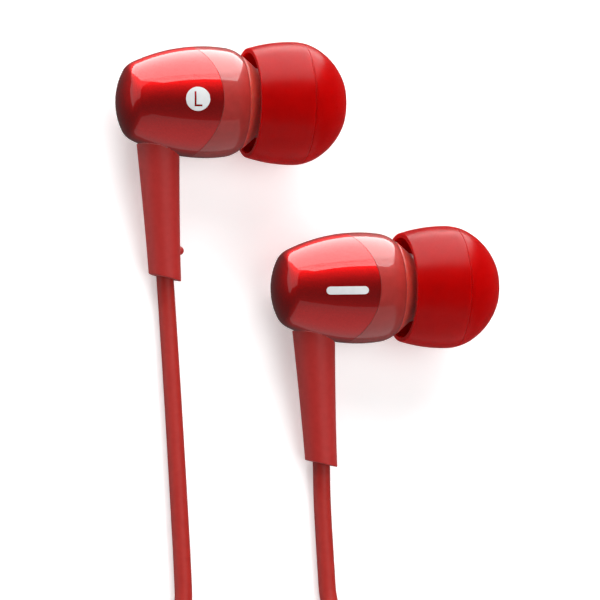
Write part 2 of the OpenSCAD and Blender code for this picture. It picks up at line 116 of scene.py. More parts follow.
AZIMUTH, ELEVATION, ROLL = radians(-59.5), radians(65.95), radians(57.6)
DISTANCE = 0.2978
TARGET = Vector((-0.0014, -0.0049, 0.005))
FOCAL_WIDTHS = 4.915  # focal length as a multiple of the picture's width

camera = placed("camera", bpy.data.cameras.new("camera"))
bpy.context.scene.camera = camera
camera.data.lens = FOCAL_WIDTHS * camera.data.sensor_width
camera.data.clip_start = 0.01
backward = Vector(
    (sin(AZIMUTH) * cos(ELEVATION), -cos(AZIMUTH) * cos(ELEVATION), sin(ELEVATION))
)
right = Vector((0, 0, 1)).cross(backward).normalized()
upright = Matrix((right, backward.cross(right), backward)).transposed()
facing = (upright @ Matrix.Rotation(ROLL, 3, "Z")).to_4x4()
camera.matrix_world = Matrix.Translation(TARGET + backward * DISTANCE) @ facing


# --- Cords ---

CORD_D, MAIN_D = 1.75, 2.2
BRANCH_AT, BRANCH_R, BRANCH_TURNS = (-6.5, -52.5), 8.75, 3
MAIN_AT, MAIN_R, MAIN_TURNS = (7.5, -111.5), 11, 2.75
TIE_T = 0.3
TURN_POINTS = 24
CLIMB_RATE = 3  # a coil climbs to its next layer in a third of a turn

LEFT_IN = [
    (-14.23, -4.7, 0.98), (-14.19, -7, 0.88), (-14.18, -12, 0.88), (-14.19, -17, 0.88),
    (-14.21, -22, 0.88), (-14.24, -27, 0.88), (-14.28, -31, 0.88), (-14.4, -34.5, 0.88),
    (-14.95, -38, 0.95), (-15.95, -41.5, 1.05), (-17.1, -45, 1.15), (-17.75, -48, 1.18),
    (-17.88, -50, 1.18),
]
LEFT_OUT = [
    (-17.88, -55, 2.9), (-17.7, -58, 2.9), (-17, -61, 2.85), (-15.4, -64.5, 2.7),
    (-13, -68, 2.4), (-10.6, -71, 2.1), (-8.8, -73.7, 1.95), (-7.95, -76, 1.9),
    (-7.8, -78, 1.9), (-7.8, -82, 1.9), (-7.8, -86, 1.9), (-7.8, -91.5, 1.9),
]
RIGHT_IN = [
    (1.02, -23.8, 0.98), (0.98, -26, 0.88), (0.93, -29, 0.88), (0.9, -32, 0.88),
    (0.92, -34.5, 0.9), (1.3, -37.5, 1.5), (2.3, -40.5, 2.7), (3.55, -43.5, 3.9),
    (4.45, -46, 4.5), (4.85, -48.5, 4.68), (4.88, -50, 4.68),
]
RIGHT_OUT = [
    (4.88, -55, 6.43), (4.7, -58, 6.43), (4, -61, 6.2), (2.4, -64.5, 5.1),
    (0, -68, 3.6), (-2.4, -71, 2.5), (-4.2, -73.7, 2), (-5.05, -76, 1.9),
    (-5.2, -78, 1.9), (-5.2, -82, 1.9), (-5.2, -86, 1.9), (-5.2, -91.5, 1.9),
]
MAIN_IN = [
    (-6.5, -99, 1.9), (-6.5, -101.5, 1.85), (-6.5, -104.5, 1.6), (-6.5, -107, 1.42),
    (-6.5, -109, 1.4),
]
MAIN_OUT = [
    (-6.5, -114, 8), (-6.5, -117, 8), (-6.55, -119.7, 7.7), (-7.3, -122.4, 6.8),
    (-9.3, -124.4, 5.6), (-12, -125.2, 4.5), (-14.7, -124.4, 3.6), (-16.8, -122.4, 3),
    (-17.5, -119.7, 2.9), (-17.5, -118, 2.9),
]


def in_metres(points):
    return [Vector(p) * MM for p in points]


def coil_points(at, mean_r, per_layer, layers, d, z0, start, sense):
    """A coil of layers that wind inwards and outwards by turns, one cord's diameter apart.

    It lies on z0. start is the angle where the cord comes in and leaves, and sense is 1 if it winds
    anticlockwise.
    """
    total = round(per_layer * layers * TURN_POINTS)
    step = 2 * pi / TURN_POINTS
    points = []
    for k in range(total + 1):
        turn = k / TURN_POINTS
        layer = min(int(turn / per_layer), layers - 1)
        along = turn / per_layer - layer
        inwards = along if layer % 2 == 0 else 1 - along
        radius = mean_r + per_layer * d * (0.5 - inwards)
        nearest = min(max(round(turn / per_layer), 1), layers - 1)
        climb = (turn - nearest * per_layer) * CLIMB_RATE + 0.5
        climb = min(max(climb, 0), 1)
        # the climb starts and ends level
        climbed = nearest - 1 + climb * climb * (3 - 2 * climb)
        height = z0 + TIE_T + d / 2 + d * climbed
        angle = start + sense * k * step
        points.append((at[0] + radius * cos(angle), at[1] + radius * sin(angle), height))
    return in_metres(points)


def smooth(points, step=0.0006):
    """The points of an even, smooth curve through the points given."""
    out = []
    for i in range(len(points) - 1):
        a, b = points[max(i - 1, 0)], points[i]
        c, d = points[i + 1], points[min(i + 2, len(points) - 1)]
        span = (c - b).length
        lead_b = (c - a) * (span / max((b - a).length + span, 1e-9))
        lead_c = (d - b) * (span / max((d - c).length + span, 1e-9))
        count = max(1, round(span / step))
        for k in range(count):
            t = k / count
            out.append(
                b * (2 * t**3 - 3 * t**2 + 1)
                + lead_b * (t**3 - 2 * t**2 + t)
                + c * (3 * t**2 - 2 * t**3)
                + lead_c * (t**3 - t**2)
            )
    return out + [points[-1]]


def cord_piece(name, points, diameter):
    """A tube along the points. Each point carries the tube's radius, which keeps its box true."""
    curve = bpy.data.curves.new(name, "CURVE")
    curve.dimensions = "3D"
    curve.bevel_depth = 1
    curve.bevel_resolution = 8
    curve.use_fill_caps = True
    spline = curve.splines.new("POLY")
    spline.points.add(len(points) - 1)
    for point, place in zip(spline.points, points):
        point.co = (*place, 1)
        point.radius = diameter * MM / 2
    spline.use_smooth = True
    return placed(name, curve)


def stem_points(side, stations):
    """Places on the stem's axis, at distances down the stem."""
    return [PLACE[side] @ STEM @ Vector((0, 0, t * MM)) for t in stations]


branch_stack = 2 * CORD_D  # the left branch's two layers, with the right branch's on top
routes = {
    "left": smooth(
        stem_points("left", (CORD_START_T, STEM_LEN))
        + in_metres(LEFT_IN)
        + coil_points(BRANCH_AT, BRANCH_R, BRANCH_TURNS, 2, CORD_D, 0, pi, 1)
        + in_metres(LEFT_OUT)
    ),
    "right": smooth(
        stem_points("right", (CORD_START_T, STEM_LEN))
        + in_metres(RIGHT_IN)
        + coil_points(BRANCH_AT, BRANCH_R, BRANCH_TURNS, 2, CORD_D, branch_stack, 0, -1)
        + in_metres(RIGHT_OUT)
    ),
    "main": smooth(
        in_metres(MAIN_IN)
        + coil_points(MAIN_AT, MAIN_R, MAIN_TURNS, 4, MAIN_D, 0, pi, 1)
        + in_metres(MAIN_OUT)
    ),
}
cords = {}
for name, route in routes.items():
    cord = cord_piece(f"{name}_cord_sheath", route, MAIN_D if name == "main" else CORD_D)
    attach(cord, ROOT)
    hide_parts(f"{name}_cord", f"{name}_coil")
    cords[name] = cord


# --- Materials ---


class Shader:
    """A node material: the principled shader, and short names for the nodes that feed it."""

    def __init__(self, name, **sockets):
        self.material = bpy.data.materials.new(name)
        self.material.use_nodes = True
        self.tree = self.material.node_tree
        self.out = self.tree.nodes["Principled BSDF"]
        self.place = self.node("ShaderNodeTexCoord").outputs["Object"]
        for socket, value in sockets.items():
            self.out.inputs[socket.replace("_", " ")].default_value = value

    def node(self, kind, **settings):
        node = self.tree.nodes.new(kind)
        for name, value in settings.items():
            setattr(node, name, value)
        return node

    def link(self, a, b):
        self.tree.links.new(a, b)

    def noise(self, scale, detail=2, stretch=(1, 1, 1)):
        mapping = self.node("ShaderNodeMapping")
        mapping.inputs["Scale"].default_value = stretch
        self.link(self.place, mapping.inputs["Vector"])
        noise = self.node("ShaderNodeTexNoise")
        noise.inputs["Scale"].default_value = scale
        noise.inputs["Detail"].default_value = detail
        self.link(mapping.outputs["Vector"], noise.inputs["Vector"])
        return noise.outputs["Fac"]

    def cells(self, scale):
        voronoi = self.node("ShaderNodeTexVoronoi")
        voronoi.inputs["Scale"].default_value = scale
        self.link(self.place, voronoi.inputs["Vector"])
        return voronoi

    def span(self, value, low, high, from_low=0.35, from_high=0.65):
        scale = self.node("ShaderNodeMapRange")
        self.link(value, scale.inputs["Value"])
        for name, number in zip(
            ("From Min", "From Max", "To Min", "To Max"), (from_low, from_high, low, high)
        ):
            scale.inputs[name].default_value = number
        return scale.outputs["Result"]

    def colour(self, factor, first, second):
        mix = self.node("ShaderNodeMix", data_type="RGBA")
        self.link(factor, mix.inputs["Factor"])
        mix.inputs["A"].default_value = (*first, 1)
        mix.inputs["B"].default_value = (*second, 1)
        self.link(mix.outputs["Result"], self.out.inputs["Base Color"])

    def rough(self, value):
        self.link(value, self.out.inputs["Roughness"])

    def bump(self, height, depth, strength=1.0):
        bump = self.node("ShaderNodeBump")
        bump.inputs["Distance"].default_value = depth
        bump.inputs["Strength"].default_value = strength
        self.link(height, bump.inputs["Height"])
        self.link(bump.outputs["Normal"], self.out.inputs["Normal"])


def plain_finish(name, dark, light, rough, grain=0.0004, depth=0.00001, **sockets):
    """Moulded or cast material: a slow drift of colour and a fine grain in gloss and surface."""
    shader = Shader(name, **sockets)
    shader.colour(shader.span(shader.noise(0.4 / grain, 3), 0, 1), dark, light)
    fine = shader.noise(1 / grain, 2)
    shader.rough(shader.span(fine, rough * 0.88, rough * 1.12))
    if depth:
        shader.bump(fine, depth, 0.5)
    return shader.material


def candy_lacquer():
    """Metallic red under clear lacquer, with flakes a few hundredths of a millimetre across."""
    shader = Shader(
        "candy_lacquer", Metallic=1.0, Coat_Weight=1.0, Coat_Roughness=0.015, Coat_IOR=1.5
    )
    flakes = shader.cells(18000).outputs["Color"]
    shade = shader.node("ShaderNodeSeparateColor")
    shader.link(flakes, shade.inputs["Color"])
    shader.colour(
        shader.span(shade.outputs["Red"], 0, 1, 0, 1), (0.60, 0.005, 0.006), (0.72, 0.009, 0.009)
    )
    shader.rough(shader.span(shader.noise(2500), 0.45, 0.5))
    return shader.material


def frosted_plastic():
    shader = Shader(
        "frosted_plastic", Coat_Weight=1.0, Coat_Roughness=0.03, Coat_IOR=1.5,
        Subsurface_Weight=0.35, Subsurface_Scale=0.001, Specular_IOR_Level=0.4,
    )
    shader.out.inputs["Subsurface Radius"].default_value = (1.0, 0.25, 0.2)
    drift = shader.span(shader.noise(1200, 3), 0, 1)
    shader.colour(drift, (0.32, 0.014, 0.010), (0.36, 0.017, 0.013))
    shader.rough(shader.span(shader.noise(9000), 0.42, 0.5))
    return shader.material


def silicone(name, gloss):
    """Satin silicone: colour all the way through, and a fine tooth in the surface."""
    shader = Shader(
        name, Specular_IOR_Level=gloss, Subsurface_Weight=1.0, Subsurface_Scale=0.0012
    )
    shader.out.inputs["Subsurface Radius"].default_value = (1.0, 0.05, 0.05)
    drift = shader.span(shader.noise(900, 3), 0, 1)
    shader.colour(drift, (0.41, 0.0002, 0.0002), (0.44, 0.0003, 0.0003))
    fine = shader.noise(14000, 3)
    shader.rough(shader.span(fine, 0.27, 0.32))
    shader.bump(fine, 0.000004, 0.4)
    return shader.material


def soft_moulding(name, dark, light, rough=0.5):
    """The matt elastomer of the cords and the strain reliefs."""
    shader = Shader(name, Specular_IOR_Level=0.45, Sheen_Weight=0.05, Sheen_Roughness=0.4)
    shader.colour(shader.span(shader.noise(1500, 4), 0, 1), dark, light)
    fine = shader.noise(12000, 3)
    shader.rough(shader.span(fine, rough * 0.9, rough * 1.1))
    shader.bump(fine, 0.000006, 0.5)
    return shader.material


def turned_metal(name, dark, light, rough, lines=9000):
    """Plated metal with the fine rings that turning leaves."""
    shader = Shader(name, Metallic=1.0)
    shader.colour(shader.span(shader.noise(1500, 3), 0, 1), dark, light)
    rings = shader.noise(lines, 2, (0.05, 1, 0.05))
    shader.rough(shader.span(rings, rough * 0.8, rough * 1.25))
    shader.bump(rings, 0.000002, 0.4)
    return shader.material


def woven_strap():
    shader = Shader("woven_strap", Specular_IOR_Level=0.3, Sheen_Weight=0.3, Sheen_Roughness=0.5)
    warp = shader.node("ShaderNodeTexWave", bands_direction="X")
    weft = shader.node("ShaderNodeTexWave", bands_direction="DIAGONAL")
    for wave in (warp, weft):
        wave.inputs["Scale"].default_value = 900
        shader.link(shader.place, wave.inputs["Vector"])
    both = shader.node("ShaderNodeMath", operation="MULTIPLY")
    shader.link(warp.outputs["Fac"], both.inputs[0])
    shader.link(weft.outputs["Fac"], both.inputs[1])
    shader.colour(both.outputs["Value"], (0.012, 0.012, 0.014), (0.05, 0.05, 0.055))
    shader.rough(shader.span(shader.noise(4000), 0.75, 0.9))
    shader.bump(both.outputs["Value"], 0.00006, 0.8)
    return shader.material


def felt():
    shader = Shader("felt_finish", Sheen_Weight=0.4)
    shader.colour(shader.span(shader.noise(6000, 5), 0, 1), (0.5, 0.5, 0.48), (0.7, 0.7, 0.68))
    fine = shader.noise(12000, 4)
    shader.rough(shader.span(fine, 0.85, 0.98))
    shader.bump(fine, 0.00005, 0.8)
    return shader.material


INSIDE_TIP = silicone("silicone_inside", 0)
FINISHES = {
    "candy_shell": candy_lacquer(),
    "frosted_ring": frosted_plastic(),
    "nozzle": plain_finish(
        "nozzle_plastic", (0.74, 0.045, 0.03), (0.80, 0.055, 0.038), 0.4,
        Subsurface_Weight=1.0, Subsurface_Scale=0.003,
    ),
    "ear_tip": silicone("silicone", 0.15),
    "mark": plain_finish("mark_inlay", (0.66, 0.67, 0.68), (0.72, 0.73, 0.74), 0.45),
    "relief": soft_moulding("relief_elastomer", (0.39, 0.015, 0.012), (0.42, 0.018, 0.015)),
    "cord": soft_moulding("cord_elastomer", (0.32, 0.010, 0.006), (0.35, 0.013, 0.008), 0.45),
    "brass": turned_metal("brass_finish", (0.60, 0.42, 0.16), (0.70, 0.50, 0.22), 0.3),
    "copper": turned_metal("copper_finish", (0.62, 0.26, 0.12), (0.72, 0.32, 0.16), 0.3),
    "board": plain_finish("board_finish", (0.02, 0.14, 0.05), (0.03, 0.18, 0.07), 0.4),
    "felt": felt(),
    "driver_frame": plain_finish("black_plastic", (0.02, 0.02, 0.02), (0.03, 0.03, 0.03), 0.5),
    "steel": turned_metal("steel_finish", (0.50, 0.50, 0.52), (0.60, 0.60, 0.61), 0.3),
    "magnet": turned_metal("nickel_finish", (0.42, 0.41, 0.38), (0.50, 0.49, 0.46), 0.2),
    "diaphragm": plain_finish("film_finish", (0.55, 0.52, 0.42), (0.62, 0.59, 0.50), 0.25),
    "surround": plain_finish("surround_finish", (0.40, 0.36, 0.28), (0.46, 0.42, 0.34), 0.35),
    "core": plain_finish("core_finish", (0.6, 0.6, 0.6), (0.68, 0.68, 0.68), 0.5),
    "tie": woven_strap(),
    "gold": turned_metal("gold_plating", (0.80, 0.54, 0.20), (0.88, 0.62, 0.28), 0.18),
    "insulator": plain_finish("insulator_finish", (0.012, 0.012, 0.012), (0.02, 0.02, 0.02), 0.3),
}


def paint(obj, slot):
    obj.data.materials.clear()
    obj.data.materials.append(FINISHES[slot])


for part in record["subparts"]:
    for slot in nodes[part["node"]].material_slots:
        slot.material = FINISHES[part["material_slot"]]
for cord in cords.values():
    paint(cord, "cord")


# --- Earpiece shapes, in millimetres ---
# An outline is a list of places (radius, X), or (radius, T) for the stem.

BELLY_X, BELLY_R = 8.0, 5.65
CREASE_R, CREASE_ROUND, CAP_H = 3.7, 0.5, 1.1
CAP_SHARE = 0.87  # how much of the cap lies inside its rounded edge
FRONT_ARC_R, FRONT_ARC_END = 14, 10
SHOULDER_R, RING_FRONT, RING_EDGE = 3, 11.5, 0.08
SEAM_SIDE_X, SEAM_R, SEAM_GAP, SEAM_LIP = 8.5, 8.2, 0.02, 0.04
CAVITY = [(4.75, 4.6), (3.6, 4.6), (3.6, 0.7), (0, 0.7)]
SPIGOT_R, SPIGOT_REAR, RING_BORE_R = 4.7, 5.6, 4.3

rear_arc_r = (BELLY_X**2 + (BELLY_R - CREASE_R) ** 2) / (2 * (BELLY_R - CREASE_R))
cap_r = (CREASE_R**2 + CAP_H**2) / (2 * CAP_H)
shoulder_x = BELLY_X + (FRONT_ARC_R - SHOULDER_R) * (FRONT_ARC_END - BELLY_X) / FRONT_ARC_R
shoulder_y = (
    BELLY_R - FRONT_ARC_R
    + (FRONT_ARC_R - SHOULDER_R) * sqrt(1 - ((FRONT_ARC_END - BELLY_X) / FRONT_ARC_R) ** 2)
)


def barrel_r(x):
    """The barrel's radius at a distance from the crease."""
    if x < BELLY_X:
        return BELLY_R - rear_arc_r + sqrt(rear_arc_r**2 - (x - BELLY_X) ** 2)
    if x < FRONT_ARC_END:
        return BELLY_R - FRONT_ARC_R + sqrt(FRONT_ARC_R**2 - (x - BELLY_X) ** 2)
    return shoulder_y + sqrt(SHOULDER_R**2 - (x - shoulder_x) ** 2)


def cap_point(share):
    """A place on the rear cap: 0 is its middle and 1 is the crease."""
    angle = share * asin(CREASE_R / cap_r)
    return cap_r * sin(angle), cap_r - CAP_H - cap_r * cos(angle)


def evenly(low, high, count):
    """Evenly spaced values, with low and high among them."""
    return [low + (high - low) * k / (count - 1) for k in range(count)]


def bend(a, b, c, count=8):
    """A rounded corner from a to c about the corner b."""
    return [
        tuple(p * (1 - t) ** 2 + 2 * q * t * (1 - t) + r * t**2 for p, q, r in zip(a, b, c))
        for t in evenly(0, 1, count)
    ]


def grooves(place, middles, depth, half_width):
    """How deep the rounded grooves about the middles are at a place."""
    return sum(depth * max(0, 1 - ((place - m) / half_width) ** 2) for m in middles)


def seam_x(side_way, gap=0):
    """Where the seam crosses the barrel at an angle whose sine is side_way."""
    x = SEAM_SIDE_X
    for _ in range(12):
        x = SEAM_SIDE_X - SEAM_R + sqrt((SEAM_R + gap) ** 2 - (barrel_r(x) * side_way) ** 2)
    return x


def shell_column(angle):
    seam = seam_x(sin(angle))
    r = barrel_r(seam)
    after_crease = (barrel_r(CREASE_ROUND), CREASE_ROUND)
    before_lip = (barrel_r(seam - SEAM_LIP), seam - SEAM_LIP)
    points = [cap_point(share) for share in evenly(0, CAP_SHARE, 24)]
    points += bend(cap_point(CAP_SHARE + 0.01), (CREASE_R, 0), after_crease, 12)
    points += [(barrel_r(x), x) for x in evenly(CREASE_ROUND + 0.1, seam - 1.5 * SEAM_LIP, 48)]
    points += bend(before_lip, (r, seam), (r - SEAM_LIP, seam), 6)
    return points + [(CAVITY[0][0], seam)] + CAVITY


def ring_column(angle):
    seam = seam_x(sin(angle), SEAM_GAP)
    r, front_r = barrel_r(seam), barrel_r(RING_FRONT)
    after_lip = (barrel_r(seam + SEAM_LIP), seam + SEAM_LIP)
    before_edge = (barrel_r(RING_FRONT - RING_EDGE), RING_FRONT - RING_EDGE)
    points = bend((r - SEAM_LIP, seam), (r, seam), after_lip, 6)
    points += [(barrel_r(x), x) for x in evenly(seam + 1.5 * SEAM_LIP, FRONT_ARC_END, 20)]
    points += [(barrel_r(x), x) for x in evenly(FRONT_ARC_END + 0.05, RING_FRONT - 0.12, 20)]
    points += bend(before_edge, (front_r, RING_FRONT), (front_r - 0.1, RING_FRONT), 6)
    spigot = [(RING_BORE_R, SPIGOT_REAR), (SPIGOT_R, SPIGOT_REAR), (SPIGOT_R, seam)]
    return points + [(RING_BORE_R, RING_FRONT)] + spigot


def rounded_outline(corners, steps=5):
    """A closed outline with each corner (radius, x, rounding) rounded off."""
    out = []
    for k, (r, x, size) in enumerate(corners):
        here = Vector((r, x))
        before = Vector(corners[k - 1][:2]) - here
        after = Vector(corners[(k + 1) % len(corners)][:2]) - here
        if size == 0:
            out.append((r, x))
            continue
        a = here + before.normalized() * min(size, before.length * 0.45)
        c = here + after.normalized() * min(size, after.length * 0.45)
        out += bend(a, here, c, steps)
    return out


NOZZLE = [
    (4.25, 9.6, 0), (4.25, 11.5, 0), (4.78, 11.5, 0.03), (4.74, 11.72, 0.1), (3.5, 13.2, 0.12),
    (3.5, 13.5, 0.12), (2.0, 13.5, 0.1), (2.0, 16.8, 0.1), (2.3, 17.0, 0.08), (2.3, 17.3, 0.08),
    (2.0, 17.9, 0.08), (1.75, 17.9, 0.05), (1.75, 17.6, 0), (1.4, 17.6, 0), (1.4, 13.2, 0),
    (3.3, 11.5, 0), (3.3, 9.6, 0),
]

TIP_R, TIP_BELLY_X, TIP_NOSE, TIP_REAR = 6.27, 17.2, 5.6, 12.45
SKIRT_ARC_R, CORNER_R, SKIRT_WALL = 16, 4.7, 0.5
RIM_ROUND, HOLLOW_ROUND = 0.06, 0.8
TIP_BORE_R, CORE_R, CORE_REAR, HOLLOW_FRONT = 2.35, 2.95, 13.9, 18.4
TIP_LINE_X, TIP_LINE_DEPTH, TIP_LINE_WIDTH = 17.95, 0.07, 0.09

corner_y = TIP_R - CORNER_R
nose_r = (corner_y**2 + TIP_NOSE**2 - CORNER_R**2) / (2 * (TIP_NOSE - CORNER_R))
nose_x = TIP_BELLY_X + TIP_NOSE - nose_r
nose_start = nose_x + nose_r * (TIP_BELLY_X - nose_x) / (nose_r - CORNER_R)


def tip_r(x, inset=0):
    """The ear tip's radius, less the inset."""
    if x < TIP_BELLY_X:
        return TIP_R - SKIRT_ARC_R + sqrt((SKIRT_ARC_R - inset) ** 2 - (x - TIP_BELLY_X) ** 2)
    if x < nose_start:
        return corner_y + sqrt((CORNER_R - inset) ** 2 - (x - TIP_BELLY_X) ** 2)
    return sqrt(max((nose_r - inset) ** 2 - (x - nose_x) ** 2, 0))


def tip_outside():
    """From the rear rim to the nose, with a fine line round it."""
    line, width = TIP_LINE_X, TIP_LINE_WIDTH
    stations = evenly(TIP_REAR + 0.15, line - 0.2, 44)
    stations += evenly(line - 2 * width, line + 2 * width, 13)
    stations += evenly(line + 0.25, nose_start, 16)
    return [(tip_r(x) - grooves(x, [line], TIP_LINE_DEPTH, width), x) for x in stations]


def tip_nose():
    """Over the nose and round into the mouth of the bore."""
    mouth = nose_x + sqrt(nose_r**2 - (TIP_BORE_R + 0.5) ** 2)
    start = asin((nose_start - nose_x) / nose_r) + 0.02
    stop = asin((mouth - nose_x) / nose_r)
    arc = [(nose_r * cos(a), nose_x + nose_r * sin(a)) for a in evenly(start, stop, 40)]
    return arc + bend(arc[-1], (TIP_BORE_R, mouth + 0.15), (TIP_BORE_R, mouth - 0.6), 10)[1:]


def tip_hollow():
    """Back along the bore, round the core, and back along the inside of the skirt."""
    front, soft, wall = HOLLOW_FRONT, HOLLOW_ROUND, SKIRT_WALL
    bore = [(TIP_BORE_R, 14.5, 0), (TIP_BORE_R, CORE_REAR, 0.1)]
    core = [(CORE_R, CORE_REAR, 0.2), (CORE_R, 15, 0)]
    skirt_r = tip_r(front, wall)
    skirt_side = (tip_r(front - soft, wall), front - soft)
    points = rounded_outline(bore + core)
    points += bend((CORE_R, front - soft), (CORE_R, front), (CORE_R + soft, front), 8)
    points += bend((skirt_r - soft, front), (skirt_r, front), skirt_side, 8)
    return points + [(tip_r(x, wall), x) for x in evenly(front - 0.9, TIP_REAR + 0.25, 36)]


def tip_rim():
    """The rear rim: a flat face with a little rounding on its two edges."""
    rear, soft, wall = TIP_REAR, RIM_ROUND, SKIRT_WALL
    inner, outer = tip_r(rear, wall), tip_r(rear)
    inside = (tip_r(rear + 2 * soft, wall), rear + 2 * soft)
    outside = (tip_r(rear + soft), rear + soft)
    points = bend(inside, (inner, rear), (inner + 2 * soft, rear), 7)
    return points + bend((outer - soft, rear), (outer, rear), outside, 6)


def tip_outline():
    return tip_outside() + tip_nose() + tip_hollow() + tip_rim()


STEM_TOP_R, STEM_END_R, STEM_FLARE = 2.4, 1.62, 1.3
RELIEF_GAP, RELIEF_WALL, RELIEF_LIP, CABLE_BORE_R = 0.06, 0.9, 0.13, 1.0
NUB_T, NUB_R, NUB_SUNK = 15.1, 0.45, 0.04


def stem_r(t):
    """The strain relief's radius: it flares a little towards the barrel."""
    share = max(0, 1 - t / STEM_LEN)
    return STEM_END_R + (STEM_TOP_R - STEM_END_R) * share**STEM_FLARE


def stem_top(angle, inset=0):
    """How far down the stem its side meets the barrel, at an angle round the stem."""
    low, high = 1.0, 9.0
    for _ in range(30):
        t = (low + high) / 2
        r = stem_r(t) - inset
        place = STEM @ Vector((r * cos(angle) * MM, r * sin(angle) * MM, t * MM)) / MM
        inside = hypot(place.y, place.z) < barrel_r(place.x) + RELIEF_GAP
        low, high = (t, high) if inside else (low, t)
    return low


def stem_end(angle, r):
    """How far down the stem its slanted end lies, at a distance from the stem's axis."""
    return STEM_LEN + r * cos(angle) * STEM_SLANT


def stem_column(angle):
    top, inner_top = stem_top(angle), stem_top(angle, RELIEF_WALL)
    r, lip = stem_r(top), RELIEF_LIP
    points = [(CABLE_BORE_R, inner_top + 0.6), (r - RELIEF_WALL, inner_top)]
    points += bend((r - lip, stem_top(angle, lip)), (r, top), (stem_r(top + lip), top + lip), 7)
    end = stem_end(angle, STEM_END_R)
    r = stem_r(end)
    above, within = (stem_r(end - lip), end - lip), (r - lip, stem_end(angle, r - lip))
    points += [(stem_r(t), t) for t in evenly(top + 0.3, end - 0.3, 40)]
    points += bend(above, (r, end), within, 7)
    bore, mouth = CABLE_BORE_R, stem_end(angle, CABLE_BORE_R)
    points += bend((bore + 0.1, stem_end(angle, bore + 0.1)), (bore, mouth), (bore, mouth - 0.1), 5)
    return points + [(bore, mouth - 2.4)]


def nub_column(_):
    return [(NUB_R * sin(a), -NUB_R * cos(a)) for a in evenly(pi * 0.4, pi, 12)]


SHARP = radians(38)  # an edge that turns by more than this stays sharp


def finish_piece(name, bm, place):
    """Turns mesh work in metres into an object, smooth but for its real edges, put in its place."""
    bmesh.ops.remove_doubles(bm, verts=bm.verts, dist=1e-8)
    bmesh.ops.recalc_face_normals(bm, faces=bm.faces)
    for face in bm.faces:
        face.smooth = True
    for edge in bm.edges:
        edge.smooth = edge.calc_face_angle(0) < SHARP
    bm.transform(place)
    mesh = bpy.data.meshes.new(name)
    bm.to_mesh(mesh)
    bm.free()
    return placed(name, mesh)


def skin(bm, rings, loop=False):
    """Faces between neighbouring rows of points, given in millimetres."""
    rows = [[bm.verts.new(Vector(point) * MM) for point in ring] for ring in rings]
    count = len(rows[0])
    for a, b in zip(rows, rows[1:]):
        for i in range(count if loop else count - 1):
            j = (i + 1) % count
            bm.faces.new((a[i], b[i], b[j], a[j]))
    return rows


def lathe_piece(name, column, place, segments=192, loop=False):
    """A body turned about its own Z. column(angle) gives its outline there, as (radius, height)."""
    bm = bmesh.new()
    rings = []
    for angle in evenly(0, 2 * pi, segments + 1):
        rings.append([(r * cos(angle), r * sin(angle), z) for r, z in column(angle)])
    skin(bm, rings, loop)
    return finish_piece(name, bm, place)


def swept_piece(name, rings, place):
    """A solid through closed rings of points, flat at both ends."""
    bm = bmesh.new()
    rows = skin(bm, rings, loop=True)
    for row in (rows[0], rows[-1]):
        bm.faces.new(row)
    return finish_piece(name, bm, place)


def joined(obj, other):
    """The first object with the other's mesh added to it."""
    bm = bmesh.new()
    for mesh in (obj.data, other.data):
        bm.from_mesh(mesh)
    bm.to_mesh(obj.data)
    bm.free()
    bpy.data.objects.remove(other)
    return obj


def add(obj, body, slot, *replaced):
    """Paints a piece with its slot's finish, parents it to its body and hides the nodes it stands
    for.
    """
    paint(obj, slot)
    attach(obj, body)
    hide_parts(*replaced)
    return obj


INWARDS = -0.3  # a tip's face is inside it where it leans outwards by less than this


def barrel_pieces(side):
    nozzle_outline = rounded_outline(NOZZLE)
    for name, column, loop, slot, node in (
        ("barrel_shell", shell_column, False, "candy_shell", "rear_shell"),
        ("barrel_ring", ring_column, True, "frosted_ring", "front_ring"),
        ("nozzle_cone", lambda _: nozzle_outline, True, "nozzle", "nozzle"),
    ):
        piece = lathe_piece(f"{side}_{name}", column, PLACE[side] @ AXIS, loop=loop)
        add(piece, ROOT, slot, f"{side}_{node}")


def tip_piece(side):
    outline = tip_outline()
    tip = lathe_piece(f"{side}_silicone_tip", lambda _: outline, PLACE[side] @ AXIS, loop=True)
    add(tip, f"{side}_tip", "ear_tip", f"{side}_ear_tip")
    tip.data.materials.append(INSIDE_TIP)
    centre, ahead = PLACE[side].translation, PLACE[side].col[0].xyz
    for face in tip.data.polygons:
        outwards = face.center - centre
        outwards -= ahead * outwards.dot(ahead)
        if face.normal.dot(outwards.normalized()) < INWARDS:
            face.material_index = 1


def stem_piece(side):
    place = PLACE[side] @ STEM
    stem = lathe_piece(f"{side}_stem", stem_column, place, segments=96, loop=True)
    if side == "left":
        out = Matrix.Translation(Vector((stem_r(NUB_T) - NUB_SUNK, 0, NUB_T)) * MM) @ AXIS
        stem = joined(stem, lathe_piece("nub", nub_column, place @ out, segments=32))
    add(stem, ROOT, "relief", f"{side}_strain_relief")


for side in SIDES:
    barrel_pieces(side)
    tip_piece(side)
    stem_piece(side)


# --- Ties, slider, splitter and plug ---

TIE_W, TIE_EDGE = 3, 0.08
LANE_X, LANE_Z = -6.5, 1.9
SLIDER_Y, SLIDER_L, SLIDER_W, SLIDER_H = -86.5, 6, 6.2, 3.6
SPLITTER_Y, SPLITTER_L, SPLITTER_W, SPLITTER_END_W, SPLITTER_H = -90, 11, 5.8, 4, 3.8
GROOVE_DEPTH, GROOVE_HALF_W = 0.13, 0.3
PLUG_X, PLUG_Z, PLUG_Y = -17.5, 2.9, -119.7
BOOT_L, BOOT_R, BOOT_EDGE_R, BOOT_TAPER = 8.5, 1.7, 1.55, 0.4
RIBS, RIB_R, RIB_HALF_W = 4, 2.3, 0.42
GRIP_L, GRIP_R, GRIP_GROOVES, GRIP_GROOVE_DEPTH = 13.5, 2.9, (3, 4, 5), 0.12


